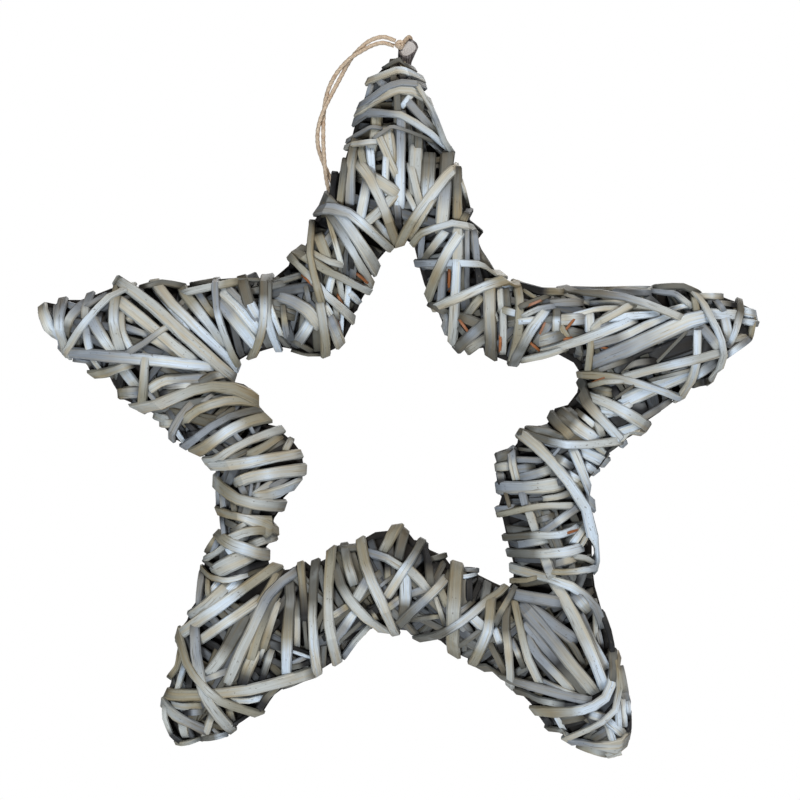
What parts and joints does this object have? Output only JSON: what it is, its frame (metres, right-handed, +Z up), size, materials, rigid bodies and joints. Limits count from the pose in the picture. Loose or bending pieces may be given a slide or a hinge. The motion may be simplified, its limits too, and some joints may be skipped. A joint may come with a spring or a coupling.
{
  "type": "hanging wicker star",
  "caption": "Five-pointed open star wound from grey-washed split willow strips, with a slant-cut wooden peg and a jute hanging loop.",
  "frame": {"origin": "hanging point, where the jute loop is knotted over the peg at the tip of the top arm", "axes": "+Z up along the top arm as the star hangs, the star's front faces -Y, +X to the right seen from the front"},
  "size_m": [0.5017, 0.0669, 0.5032],
  "materials": {
    "shaded_willow": "shaded lower layers of grey-washed split willow",
    "pale_willow": "matt whitewashed split willow, pale",
    "tan_willow": "matt washed split willow, warmer and tan",
    "grey_willow": "matt washed split willow, cool grey",
    "weathered_rod": "round willow rod with dark bark and a pale slanted cut",
    "jute": "natural twisted jute twine"
  },
  "bodies": {
    "root": {"star_winding": "shaded_willow", "upper_right_valley_turn": "pale_willow", "top_arm_turn_1_by_upper_right_valley": "tan_willow", "top_arm_turn_2_by_upper_right_valley": "grey_willow", "right_arm_turn_1_by_upper_right_valley": "grey_willow", "right_arm_turn_2_by_upper_right_valley": "pale_willow", "right_valley_turn": "tan_willow", "right_arm_turn_1_by_right_valley": "grey_willow", "right_arm_turn_2_by_right_valley": "pale_willow", "lower_right_arm_turn_1_by_right_valley": "pale_willow", "lower_right_arm_turn_2_by_right_valley": "tan_willow", "bottom_valley_turn": "grey_willow", "lower_right_arm_turn_1_by_bottom_valley": "pale_willow", "lower_right_arm_turn_2_by_bottom_valley": "tan_willow", "lower_left_arm_turn_1_by_bottom_valley": "tan_willow", "lower_left_arm_turn_2_by_bottom_valley": "grey_willow", "left_valley_turn": "pale_willow", "lower_left_arm_turn_1_by_left_valley": "tan_willow", "lower_left_arm_turn_2_by_left_valley": "grey_willow", "left_arm_turn_1_by_left_valley": "grey_willow", "left_arm_turn_2_by_left_valley": "pale_willow", "upper_left_valley_turn": "tan_willow", "left_arm_turn_1_by_upper_left_valley": "grey_willow", "left_arm_turn_2_by_upper_left_valley": "pale_willow", "top_arm_turn_1_by_upper_left_valley": "tan_willow", "top_arm_turn_2_by_upper_left_valley": "grey_willow", "top_tip_turn_1": "tan_willow", "top_tip_turn_2": "grey_willow", "top_tip_turn_3": "pale_willow", "top_arm_crossing_strip_1": "tan_willow", "top_arm_crossing_strip_2": "grey_willow", "right_tip_turn_1": "tan_willow", "right_tip_turn_2": "grey_willow", "right_tip_turn_3": "pale_willow", "right_arm_crossing_strip_1": "grey_willow", "right_arm_crossing_strip_2": "pale_willow", "lower_right_tip_turn_1": "tan_willow", "lower_right_tip_turn_2": "grey_willow", "lower_right_tip_turn_3": "pale_willow", "lower_right_arm_crossing_strip_1": "pale_willow", "lower_right_arm_crossing_strip_2": "tan_willow", "lower_left_tip_turn_1": "tan_willow", "lower_left_tip_turn_2": "grey_willow", "lower_left_tip_turn_3": "pale_willow", "lower_left_arm_crossing_strip_1": "tan_willow", "lower_left_arm_crossing_strip_2": "grey_willow", "left_tip_turn_1": "tan_willow", "left_tip_turn_2": "grey_willow", "left_tip_turn_3": "pale_willow", "left_arm_crossing_strip_1": "grey_willow", "left_arm_crossing_strip_2": "pale_willow", "peg": "weathered_rod", "cord_knot": "jute", "cord": "jute"}
  },
  "joints": []
}
